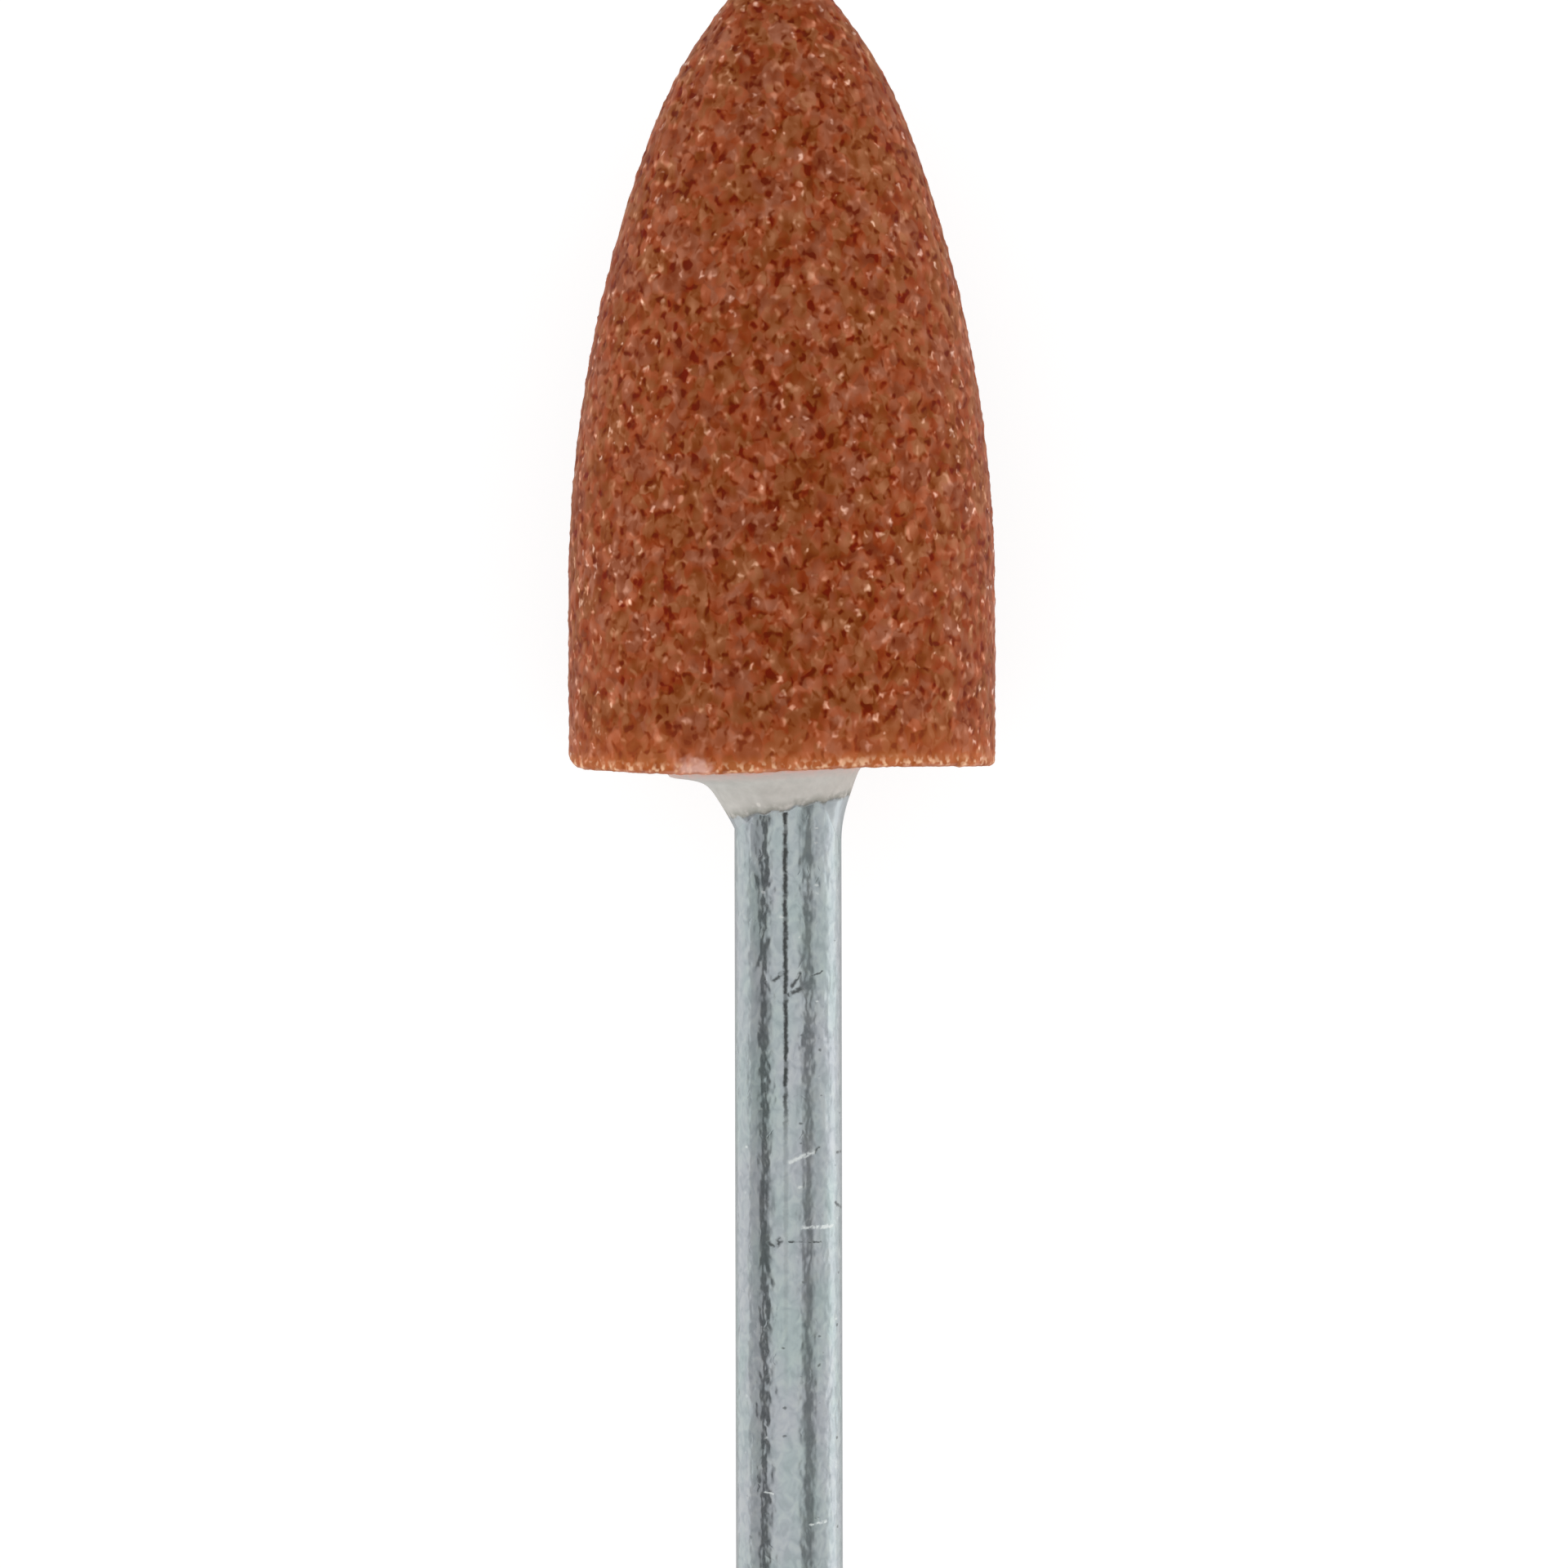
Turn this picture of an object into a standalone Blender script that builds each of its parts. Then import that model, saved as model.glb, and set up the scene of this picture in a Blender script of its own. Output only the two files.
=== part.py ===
"""Mounted point: a pointed abrasive stone, cemented on a plated steel shank.

Each piece is modelled upright, with the stone's base at height zero, the tip up and the shank down.
An empty then lays them on their side, the way the point comes to rest: the axis runs along Y, the
tip is at +Y, and one facet of the stone's parallel back is on the ground.
"""

import math

import bmesh
import bpy
from mathutils import Vector

MM = 0.001

# The stone, which is a cylinder at its back, then a long flank arc, a nose arc and a round tip
STONE_DIAMETER = 12.7 * MM
STONE_LENGTH = 24.25 * MM
LAND_LENGTH = 5.0 * MM
NOSE_LENGTH = 5.5 * MM
NOSE_DIAMETER = 7.75 * MM
TIP_RADIUS = 0.7 * MM
EDGE_RADIUS = 0.2 * MM

# The shank
SHANK_DIAMETER = 3.175 * MM
SHANK_EXPOSED = 32.0 * MM
SHANK_HELD = 12.0 * MM
SHANK_CHAMFER = 0.4 * MM
GROOVE_COUNT = 4
GROOVE_PITCH = 2.2 * MM
GROOVE_WIDTH = 0.8 * MM
GROOVE_DEPTH = 0.15 * MM
GROOVE_END_MARGIN = 1.6 * MM

# The cement, whose collar was wiped on by hand and so stands higher on one side
CEMENT_WALL = 0.5 * MM
COLLAR_LAP = 0.56 * MM
COLLAR_SHIFT = -0.09 * MM
WAVE_HEIGHT = 0.06 * MM
WAVES = ((3, 1.0, 0.6), (5, 0.6, 2.1))
COLLAR_HEIGHT = 1.15 * MM
COLLAR_SLANT = math.radians(12)
COLLAR_HOLLOW = 1.4
FOOT_THICKNESS = 0.14 * MM
FOOT_SHIFT = 0.06 * MM

# How the pieces sit in each other
SEAT_GAP = 0.05 * MM
SHANK_RUNOUT = 0.17 * MM

# Facets. The stone rests on one of its own, as a real one rests on its standing grains
STONE_SIDES = 30
SHANK_SIDES = 48
FLANK_STEPS = 12
NOSE_STEPS = 8
TIP_STEPS = 4
EDGE_STEPS = 3
COLLAR_STEPS = 9
MERGE_DISTANCE = 0.001 * MM
SHARP_ANGLE = math.radians(30)

STONE_RADIUS = STONE_DIAMETER / 2
SHANK_RADIUS = SHANK_DIAMETER / 2
BORE_RADIUS = SHANK_RADIUS + CEMENT_WALL
BORE_DEPTH = SHANK_HELD + CEMENT_WALL


def clear_scene():
    for obj in list(bpy.data.objects):
        bpy.data.objects.remove(obj, do_unlink=True)


def new_collection(name):
    collection = bpy.data.collections.new(name)
    bpy.context.scene.collection.children.link(collection)
    return collection


def new_material(name, colour, roughness, metallic):
    material = bpy.data.materials.new(name)
    material.use_nodes = True
    shader = material.node_tree.nodes["Principled BSDF"]
    shader.inputs["Base Color"].default_value = (*colour, 1.0)
    shader.inputs["Roughness"].default_value = roughness
    shader.inputs["Metallic"].default_value = metallic
    material.diffuse_color = (*colour, 1.0)
    return material


def new_object(name, mesh, collection, material=None):
    obj = bpy.data.objects.new(name, mesh)
    collection.objects.link(obj)
    if material:
        mesh.materials.append(material)
    return obj


def shade(obj):
    """Smooth faces with the real corners kept sharp."""
    obj.data.shade_smooth()
    obj.data.set_sharp_from_angle(angle=SHARP_ANGLE)


def arc(centre, radius, start, end, steps):
    """Points (radius, height) on a circle from one angle to another, both ends included."""
    turns = [start + (end - start) * k / steps for k in range(steps + 1)]
    return [(centre[0] + radius * math.cos(a), centre[1] + radius * math.sin(a)) for a in turns]


def turned(name, profile, sides, collection, material=None):
    """A body of revolution about Z, from a profile that starts and ends on the axis."""
    mesh = bpy.data.meshes.new(name)
    edges = [(k, k + 1) for k in range(len(profile) - 1)]
    mesh.from_pydata([(radius, 0, height) for radius, height in profile], edges, [])
    obj = new_object(name, mesh, collection, material)
    screw = obj.modifiers.new("turn", "SCREW")
    screw.steps = sides
    screw.render_steps = sides
    screw.use_merge_vertices = True
    screw.merge_threshold = MERGE_DISTANCE
    bpy.context.view_layer.objects.active = obj
    bpy.ops.object.modifier_apply(modifier=screw.name)
    shade(obj)
    return obj


def cutter(obj):
    obj.hide_render = True
    obj.display_type = "WIRE"
    return obj


def stone_profile():
    """From the tip down the outside, across the base and up the blind bore."""
    nose_height = STONE_LENGTH - NOSE_LENGTH
    nose_radius = NOSE_DIAMETER / 2
    # The flank arc leaves the cylinder straight and ends where the nose begins
    rise = nose_height - LAND_LENGTH
    fall = STONE_RADIUS - nose_radius
    flank_radius = (rise**2 + fall**2) / (2 * fall)
    flank_turn = 2 * math.atan2(fall, rise)
    flank_centre = (STONE_RADIUS - flank_radius, LAND_LENGTH)
    # The nose arc carries on from the flank without a corner and just touches the round tip
    tip_centre = Vector((0, STONE_LENGTH - TIP_RADIUS))
    nose_start = Vector((nose_radius, nose_height))
    outward = Vector((math.cos(flank_turn), math.sin(flank_turn)))
    reach = nose_start - tip_centre
    nose_arc_radius = (reach.length_squared - TIP_RADIUS**2) / (2 * (outward.dot(reach) - TIP_RADIUS))
    nose_centre = nose_start - nose_arc_radius * outward
    to_tip = tip_centre - nose_centre
    tip_turn = math.atan2(to_tip.y, to_tip.x)

    profile = [(0, STONE_LENGTH)]
    profile += arc(tip_centre, TIP_RADIUS, math.pi / 2, tip_turn, TIP_STEPS)[1:]
    profile += arc(nose_centre, nose_arc_radius, tip_turn, flank_turn, NOSE_STEPS)[1:]
    profile += arc(flank_centre, flank_radius, flank_turn, 0, FLANK_STEPS)[1:]
    profile += arc((STONE_RADIUS - EDGE_RADIUS, EDGE_RADIUS), EDGE_RADIUS, 0, -math.pi / 2, EDGE_STEPS)
    profile += [(BORE_RADIUS, 0), (BORE_RADIUS, BORE_DEPTH), (0, BORE_DEPTH)]
    return profile


def shank_profile(clearance=0.0):
    """From the held end down to the free end. A clearance makes the hole that the shank leaves."""
    radius = SHANK_RADIUS + clearance
    top = SHANK_HELD + clearance
    bottom = -SHANK_EXPOSED - clearance
    profile = [(0, top), (radius - SHANK_CHAMFER, top), (radius, top - SHANK_CHAMFER)]
    for k in range(GROOVE_COUNT):
        middle = SHANK_HELD - GROOVE_END_MARGIN - k * GROOVE_PITCH
        half = GROOVE_WIDTH / 2
        profile += [
            (radius, middle + half),
            (radius - GROOVE_DEPTH, middle + half - GROOVE_DEPTH),
            (radius - GROOVE_DEPTH, middle - half + GROOVE_DEPTH),
            (radius, middle - half),
        ]
    profile += [(radius, bottom + SHANK_CHAMFER), (radius - SHANK_CHAMFER, bottom), (0, bottom)]
    return profile


def lap_point(turn):
    """A point on the collar's wavy edge, where it laps over the stone's base past the bore."""
    wave = sum(share * math.sin(lobes * turn + phase) for lobes, share, phase in WAVES)
    radius = BORE_RADIUS + COLLAR_LAP + WAVE_HEIGHT * wave
    return Vector((COLLAR_SHIFT + radius * math.cos(turn), radius * math.sin(turn), -SEAT_GAP))


def foot_point(turn):
    """A point on the slanted ring where the collar ends on the shank."""
    radius = SHANK_RADIUS + FOOT_THICKNESS
    across = radius * math.cos(turn)
    height = -COLLAR_HEIGHT + across * math.tan(COLLAR_SLANT)
    return Vector((SHANK_RUNOUT + FOOT_SHIFT + across, radius * math.sin(turn), height))


def collar_ring(share, turns):
    """A ring of the collar's hollow flank: share 0 is the foot on the shank, and 1 the edge on the stone."""
    ring = []
    for turn in turns:
        foot = foot_point(turn)
        edge = lap_point(turn)
        point = foot.lerp(edge, share**COLLAR_HOLLOW)
        point.z = foot.z + (edge.z - foot.z) * share
        ring.append(point)
    return ring


def round_ring(radius, height, turns):
    return [Vector((radius * math.cos(turn), radius * math.sin(turn), height)) for turn in turns]


def loft(name, rings, collection, material):
    """A closed skin over rings of equal counts, with a flat face on the first and the last."""
    mesh = bpy.data.meshes.new(name)
    skin = bmesh.new()
    rows = [[skin.verts.new(point) for point in ring] for ring in rings]
    for lower, upper in zip(rows, rows[1:]):
        for k in range(len(lower)):
            after = (k + 1) % len(lower)
            skin.faces.new((lower[k], lower[after], upper[after], upper[k]))
    skin.faces.new(reversed(rows[0]))
    skin.faces.new(rows[-1])
    skin.to_mesh(mesh)
    skin.free()
    obj = new_object(name, mesh, collection, material)
    shade(obj)
    return obj


def make_stone(collection):
    clay = new_material("vitrified_abrasive", (0.30, 0.085, 0.040), 0.9, 0.0)
    stone = turned("stone", stone_profile(), STONE_SIDES, collection, clay)
    # The side at +Y is the one that lies on the ground: the middle of a facet is turned to it
    stone.rotation_euler.z = math.pi / 2 - math.pi / STONE_SIDES
    return stone


def make_shank(collection):
    steel = new_material("plated_steel", (0.56, 0.60, 0.62), 0.3, 1.0)
    shank = turned("shank", shank_profile(), SHANK_SIDES, collection, steel)
    shank.location.x = SHANK_RUNOUT
    return shank


def make_cement(collection, helpers):
    """The collar, the sleeve in the bore and the plug past the shank's end, all one casting."""
    grey = new_material("cement", (0.52, 0.48, 0.44), 0.8, 0.0)
    turns = [2 * math.pi * k / SHANK_SIDES for k in range(SHANK_SIDES)]
    rings = [collar_ring(k / COLLAR_STEPS, turns) for k in range(COLLAR_STEPS + 1)]
    sleeve_radius = BORE_RADIUS - SEAT_GAP
    rings.append(round_ring(sleeve_radius, -SEAT_GAP, turns))
    rings.append(round_ring(sleeve_radius, BORE_DEPTH - SEAT_GAP, turns))
    cement = loft("cement", rings, collection, grey)
    hole = cutter(turned("shank_hole", shank_profile(SEAT_GAP), SHANK_SIDES, helpers))
    hole.location.x = SHANK_RUNOUT
    cut = cement.modifiers.new("shank hole", "BOOLEAN")
    cut.operation = "DIFFERENCE"
    cut.object = hole
    return cement, hole


def lay_down(pieces, collection):
    """Turns the upright pieces to lie along Y, with the middle of the whole length over the origin."""
    rest = bpy.data.objects.new("rest", None)
    collection.objects.link(rest)
    rest.rotation_euler.x = -math.pi / 2
    rest.location.y = (SHANK_EXPOSED - STONE_LENGTH) / 2
    rest.location.z = STONE_RADIUS * math.cos(math.pi / STONE_SIDES)
    for piece in pieces:
        piece.parent = rest


def main():
    clear_scene()
    parts = new_collection("mounted_point")
    helpers = new_collection("cutters")
    stone = make_stone(parts)
    shank = make_shank(parts)
    cement, hole = make_cement(parts, helpers)
    lay_down((stone, shank, cement, hole), parts)


main()
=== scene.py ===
"""The looks of the mounted point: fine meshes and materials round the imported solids, a studio and a camera.

The point lies along Y with its tip at +Y. The camera looks down on it, with +Y up in the picture.
An angle round the axis starts at +X, the right of the picture, and passes +Z, the side the camera sees.
"""

import math

import bpy
import numpy as np
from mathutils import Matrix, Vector


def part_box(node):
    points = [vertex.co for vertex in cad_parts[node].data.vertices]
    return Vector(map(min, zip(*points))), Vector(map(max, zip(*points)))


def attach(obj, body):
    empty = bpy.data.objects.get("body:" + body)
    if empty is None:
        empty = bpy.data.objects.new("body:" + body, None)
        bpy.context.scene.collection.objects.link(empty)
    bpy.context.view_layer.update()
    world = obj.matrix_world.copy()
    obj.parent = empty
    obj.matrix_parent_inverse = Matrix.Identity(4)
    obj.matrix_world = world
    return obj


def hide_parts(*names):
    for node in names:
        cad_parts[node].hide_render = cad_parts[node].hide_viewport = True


MM = 0.001

# The facets of each piece, and the longest stretch of its outline between two rings
STONE_SIDES = 376
STONE_STEP = 0.12 * MM
BASE_STEP = 0.18 * MM
SHANK_SIDES = 192
SHANK_STEP = 0.25 * MM
COLLAR_SIDES = 320
COLLAR_ROWS = 44
SHARP_ANGLE = math.radians(40)
SAME_PLACE = 1e-6

# The stone's grain: its stretch along x, y and z, how far its cells are bent, and how many there are to 1 mm
GRAIN_STRETCH = (1.0, 0.8, 0.65)
GRAIN_BEND = 0.30
GRAINS_PER_MM = 3.6
# The relief in millimetres: the height of a grain's dome, of the soft swell and of the gaps, and how far the
# mean surface lies under the standing grains
DOME_HEIGHT = 0.030
SWELL_HEIGHT = 0.06
GAP_HEIGHT = -0.04
STANDING_GRAIN = 0.02
# The worn nose: where the wear starts and is full, in millimetres below the tip, and its share of the radius
NOSE_WEAR = (3.6, 1.6, 0.03)
# The stone's uneven base edge, in millimetres: a lift and a wave across, then the worn corner at -X with the
# place where it starts and its growth, and the height where all of this has faded away
BASE_LIFT = 0.04
BASE_WAVE = 0.10
WORN_CORNER = (5.9, 1.2)
EDGE_FADE = 0.8
# Where painted light begins on the flanks, as more crystals and paler gaps, and where it is full, in
# millimetres
FLANK_LIGHT_PLACES = (3.6, 5.6)
# A smear of cement on the stone beside the collar: (x, y above the base) of both ends, and width
SMEAR = ((-2.66, 0.02), (-2.40, 0.05), 0.62)

# The cement. Its foot is the line where the paste ends on the shank, and below that is a thin film
CEMENT_GAP = 0.05 * MM
FOOT_HEIGHT = 1.14 * MM
FOOT_SLANT = 0.32 * MM
# Each wave of the foot line: waves to a turn, height and phase
FOOT_WAVES = ((16, 0.030 * MM, 0.7), (7, 0.020 * MM, 2.2), (27, 0.010 * MM, 4.0))
# A dark blob on the foot line: (x, y) of both ends, and width, in millimetres
FOOT_BLOB = ((-0.68, 2.47), (-0.58, 2.42), 0.14)
# How far the film runs down from the foot, and its inner and outer distance from the shank's surface
FILM_FRONT = 0.06 * MM
FILM_LEFT = 0.24 * MM
FILM_RIGHT = 1.18 * MM
FILM_INSIDE = 0.0005 * MM
FILM_OUTSIDE = 0.0015 * MM
# How far below the stone's base the cement stops hugging the shank, and where the hole has its full width
HOLE_START = 0.5 * MM
HOLE_FULL = 0.3 * MM
# The collar at its front, left and right: thickness at the stone's base, hollowness, and the reach, the start
# and the fall of the lap on the stone
FLANK_FRONT = (0.75 * MM, 1.25, 0.40 * MM, 0.10 * MM, 0.10 * MM)
FLANK_LEFT = (1.10 * MM, 1.10, 0.95 * MM, 0.22 * MM, 0.10 * MM)
FLANK_RIGHT = (0.61 * MM, 1.83, 0.20 * MM, 0.00 * MM, 0.06 * MM)

# The shank's die line on its upper side, in millimetres: its place across, the places along where it starts,
# begins to fade, is faint and ends, and its width
DIE_LINE_X = 0.085
DIE_LINE_Y = (3.2, -5.4, -7.4, -14.5)
DIE_LINE_WIDTH = 0.115
# Single marks on the shank's upper side, in millimetres: (x, y) of both ends, and width
WHITE_SCRATCHES = (
    ((0.20, -7.70), (0.90, -7.40), 0.11),
    ((0.58, -9.64), (0.89, -9.65), 0.09),
    ((1.01, -9.65), (1.42, -9.63), 0.09),
    ((-0.55, -17.46), (-0.33, -17.51), 0.05),
    ((0.80, -18.44), (1.25, -18.38), 0.06),
)
DARK_NICKS = (
    ((-0.25, -2.33), (0.10, -2.02), 0.10),
    ((0.10, -2.79), (0.60, -2.55), 0.11),
    ((0.28, -2.50), (0.52, -2.12), 0.10),
    ((0.82, -2.24), (1.18, -2.09), 0.05),
    ((0.98, -7.40), (1.06, -7.30), 0.10),
    ((-0.45, -10.08), (-0.22, -10.17), 0.12),
    ((-0.22, -10.17), (-0.10, -10.02), 0.18),
    ((0.17, -10.06), (1.13, -10.09), 0.05),
    ((1.59, -7.48), (1.76, -7.48), 0.10),
    ((1.54, -8.95), (1.73, -9.14), 0.08),
)

# The drawn and plated surface: the height of its whole relief in millimetres, and the stops of its slow tints
# and of its painted shade and highlights on the relief's curls, as linear colours
PLATED_RELIEF = 0.045
PLATE_TINTS = ((0.36, (0.400, 0.468, 0.470)), (0.64, (0.436, 0.464, 0.492)))
PLATE_SHADING = ((0.34, (0.86, 0.87, 0.87)), (0.47, (0.97, 0.97, 0.97)), (0.64, (1.08, 1.07, 1.04)))
FILM_COLOUR = (0.47, 0.475, 0.495)

# Colours as the screen shows them, from 0 to 255
# The first two colours are painted warm light that the stone's base edge catches
WARM_EDGE_LIGHT = (196, 104, 58)
LIT_RIM_ORANGE = (216, 132, 70)
RIM_CRUMB = (242, 196, 158)
PINK_DUST = (230, 182, 166)
CEMENT_SMEAR = (226, 184, 172)
PASTE_DEEP = (188, 186, 180)
PASTE_PALE = (202, 200, 194)
PASTE_PINK = (216, 170, 160)
PASTE_CRUMB = (206, 136, 104)
PASTE_LUMP = (232, 228, 222)
# The next two are painted shade on the paste: mottled above its foot, and a broken line at the foot
PASTE_SHADE = (142, 143, 134)
FOOT_SHADE_LINE = (98, 102, 97)
DARK_MARK = (42, 48, 48)
WHITE_MARK = (216, 221, 219)

# The corners of a square that is two units wide
SQUARE = ((-1, -1), (1, -1), (1, 1), (-1, 1))
# The floor, in metres. It is a little under the ground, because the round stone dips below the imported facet
FLOOR_HALF = 1.5
FLOOR_HEIGHT = -0.1 * MM
FLOOR_GREY = 0.85
# What the camera and reflections see of the floor: a white of its own, and a share that takes the shadow
FLOOR_GLOW = 0.82
FLOOR_SHADOWED = 0.25
WORLD_LIGHT = 0.70
WORLD_SEEN = 1.0
WHITE = (1.0, 1.0, 1.0, 1.0)

# The picture
PICTURE_WIDTH = 46.49 * MM
PICTURE_MIDDLE = (0.070 * MM, 3.41 * MM)
CAMERA_DISTANCE = 225 * MM
CAMERA_TILT = math.radians(1.6)
CAMERA_ROLL = math.radians(0.12)
SENSOR_WIDTH = 36.0
CLIP_START = 0.01
CLIP_END = 10.0


def plug(tree, socket, value):
    """Links an output to a socket, or sets the socket's own value."""
    if isinstance(value, bpy.types.NodeSocket):
        tree.links.new(value, socket)
    else:
        socket.default_value = value


def put(tree, kind, inputs=None, **settings):
    """A new node with its settings and its inputs, which are values or outputs of other nodes."""
    node = tree.nodes.new(kind)
    for name, value in settings.items():
        setattr(node, name, value)
    for key, value in (inputs or {}).items():
        plug(tree, node.inputs[key], value)
    return node


def calc(tree, operation, a, b=None, c=None, clamp=False):
    """One Math node's result."""
    node = put(tree, "ShaderNodeMath", {0: a}, operation=operation, use_clamp=clamp)
    if b is not None:
        plug(tree, node.inputs[1], b)
    if c is not None:
        plug(tree, node.inputs[2], c)
    return node.outputs[0]


def times(tree, *values):
    """The product of several values."""
    product = values[0]
    for value in values[1:]:
        product = calc(tree, "MULTIPLY", product, value)
    return product


def vector(tree, operation, a, b=None, scale=None):
    """One Vector Math node's vector."""
    node = put(tree, "ShaderNodeVectorMath", {0: a}, operation=operation)
    if b is not None:
        plug(tree, node.inputs[1], b)
    if scale is not None:
        plug(tree, node.inputs["Scale"], scale)
    return node.outputs[0]


def noise(tree, place, scale, detail=2.0, roughness=0.5, distortion=0.0):
    """A noise texture's node. Its outputs are a value round 0.5 and a colour."""
    inputs = {"Vector": place, "Scale": scale, "Detail": detail, "Roughness": roughness}
    inputs["Distortion"] = distortion
    return put(tree, "ShaderNodeTexNoise", inputs)


def cloud(tree, place, scale, detail=2.0, roughness=0.5, distortion=0.0):
    """A noise texture's value, round 0.5."""
    return noise(tree, place, scale, detail, roughness, distortion).outputs["Fac"]


def random_shift(tree, place, scale, detail, roughness=0.5):
    """A vector round zero that changes from place to place."""
    colour = noise(tree, place, scale, detail, roughness).outputs["Color"]
    return vector(tree, "SUBTRACT", colour, (0.5, 0.5, 0.5))


def moved(tree, place, shift, amount):
    """The place, moved by a share of a vector."""
    return vector(tree, "ADD", place, vector(tree, "SCALE", shift, scale=amount))


def flattened(tree, place):
    """The place without its height, for marks that are drawn from above."""
    return vector(tree, "MULTIPLY", place, (1.0, 1.0, 0.0))


def voronoi(tree, place, scale, feature="F1"):
    """A cell texture's node."""
    return put(tree, "ShaderNodeTexVoronoi", {"Vector": place, "Scale": scale}, feature=feature)


def parts(tree, colour):
    """The three values of a colour or a vector."""
    return put(tree, "ShaderNodeSeparateXYZ", {"Vector": colour}).outputs


def ease(tree, value, low, high, to_low=0.0, to_high=1.0):
    """A smooth step from one value to another while the input goes from low to high."""
    inputs = {"Value": value, "From Min": low, "From Max": high, "To Min": to_low, "To Max": to_high}
    node = put(tree, "ShaderNodeMapRange", inputs, interpolation_type="SMOOTHSTEP")
    return node.outputs["Result"]


def ramp(tree, value, stops):
    """A colour from a list of (place, colour) stops."""
    node = put(tree, "ShaderNodeValToRGB", {"Fac": value})
    elements = node.color_ramp.elements
    while len(elements) < len(stops):
        elements.new(1.0)
    for element, (place, colour) in zip(elements, stops):
        element.position = place
        element.color = (*colour, 1.0)
    return node.outputs["Color"]


def stroke(tree, flat, start, end, width):
    """1 along a straight mark between two places (x, y), and 0 beside it."""
    along = Vector((end[0] - start[0], end[1] - start[1], 0))
    away = vector(tree, "SUBTRACT", flat, (*start, 0))
    inputs = {0: away, 1: along / along.length_squared}
    share = put(tree, "ShaderNodeVectorMath", inputs, operation="DOT_PRODUCT").outputs["Value"]
    share = calc(tree, "MULTIPLY", share, 1.0, clamp=True)
    nearest = vector(tree, "SCALE", tuple(along), scale=share)
    gap = put(tree, "ShaderNodeVectorMath", {0: away, 1: nearest}, operation="DISTANCE")
    return ease(tree, gap.outputs["Value"], 0.9 * width, 0.15 * width)


def strokes(tree, flat, marks):
    """All the marks of a list together."""
    total = 0.0
    for start, end, width in marks:
        total = calc(tree, "MAXIMUM", stroke(tree, flat, start, end, width), total)
    return total


def mixed(tree, share, a, b, blend="MIX"):
    """A mix of two colours."""
    node = put(tree, "ShaderNodeMix", data_type="RGBA", blend_type=blend, clamp_factor=True)
    plug(tree, node.inputs[0], share)
    plug(tree, node.inputs[6], a if isinstance(a, bpy.types.NodeSocket) else (*a, 1.0))
    plug(tree, node.inputs[7], b if isinstance(b, bpy.types.NodeSocket) else (*b, 1.0))
    return node.outputs[2]


def linear(red, green, blue):
    """A colour as the screen shows it, from 0 to 255, as the linear values that the nodes take."""
    def one(value):
        value /= 255
        return value / 12.92 if value <= 0.04045 else ((value + 0.055) / 1.055) ** 2.4
    return one(red), one(green), one(blue)


def new_material(name):
    """A material with its tree and its shader."""
    material = bpy.data.materials.new(name)
    material.use_nodes = True
    tree = material.node_tree
    return material, tree, tree.nodes["Principled BSDF"]


def place_in_mm(tree):
    """The place on a piece, in millimetres, which stays with the piece."""
    place = put(tree, "ShaderNodeTexCoord").outputs["Object"]
    return vector(tree, "SCALE", place, scale=1 / MM)


def elsewhere(tree, place, amount):
    """A far place, where a texture is unlike the same texture here."""
    return vector(tree, "ADD", place, (amount, 2 * amount, -amount))


def axis_of(node):
    low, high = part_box(node)
    return (low + high) / 2


def outline(node, axis):
    """A round node's corners as {place along Y: sorted distances from its axis}, in metres."""
    rows = {}
    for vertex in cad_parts[node].data.vertices:
        reach = math.hypot(vertex.co.x - axis.x, vertex.co.z - axis.z)
        rows.setdefault(round(vertex.co.y, 7), []).append(reach)
    return {y: sorted(reaches) for y, reaches in rows.items()}


def hole_end(rows):
    """The place along Y where the hole in the -Y end stops: its row has the radius of the hole's mouth."""
    mouth = rows[min(rows)][0]
    return next((y for y in rows if y > min(rows) and abs(rows[y][-1] - mouth) < SAME_PLACE), None)


def outer_side(rows):
    """(distance from the axis, place along Y) down the outside, from the axis at the +Y end to the -Y end."""
    shown = sorted((y for y in rows if y != hole_end(rows)), reverse=True)
    points = [(rows[y][-1], y) for y in shown]
    if points[0][0] > SAME_PLACE:
        points.insert(0, (0.0, points[0][1]))
    return points


def refined(points, step):
    """The same outline with no stretch longer than a step."""
    fine = [points[0]]
    for (r0, y0), (r1, y1) in zip(points, points[1:]):
        count = max(1, math.ceil(math.hypot(r1 - r0, y1 - y0) / step))
        fine += [(r0 + (r1 - r0) * k / count, y0 + (y1 - y0) * k / count) for k in range(1, count + 1)]
    return fine


def skin(name, rings):
    """A closed skin over rings of points with equal counts. A ring of one point closes an end."""
    starts = np.cumsum([0] + [len(one) for one in rings])
    faces = []
    for row, (above, below) in enumerate(zip(rings, rings[1:])):
        a, b, count = int(starts[row]), int(starts[row + 1]), max(len(above), len(below))
        for k in range(count):
            after = (k + 1) % count
            if len(above) == 1:
                faces.append((a, b + after, b + k))
            elif len(below) == 1:
                faces.append((a + k, a + after, b))
            else:
                faces.append((a + k, a + after, b + after, b + k))
    mesh = bpy.data.meshes.new(name)
    mesh.from_pydata([point for one in rings for point in one], [], faces)
    mesh.shade_smooth()
    mesh.set_sharp_from_angle(angle=SHARP_ANGLE)
    piece = bpy.data.objects.new(name, mesh)
    bpy.context.scene.collection.objects.link(piece)
    return piece


def turns_of(sides):
    return [2 * math.pi * k / sides for k in range(sides)]


def ring(radius, y, axis, sides):
    if radius < SAME_PLACE:
        return [(axis.x, y, axis.z)]
    return [(axis.x + radius * math.cos(t), y, axis.z + radius * math.sin(t)) for t in turns_of(sides)]


def turned(name, points, axis, sides):
    return skin(name, [ring(radius, y, axis, sides) for radius, y in points])


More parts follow.
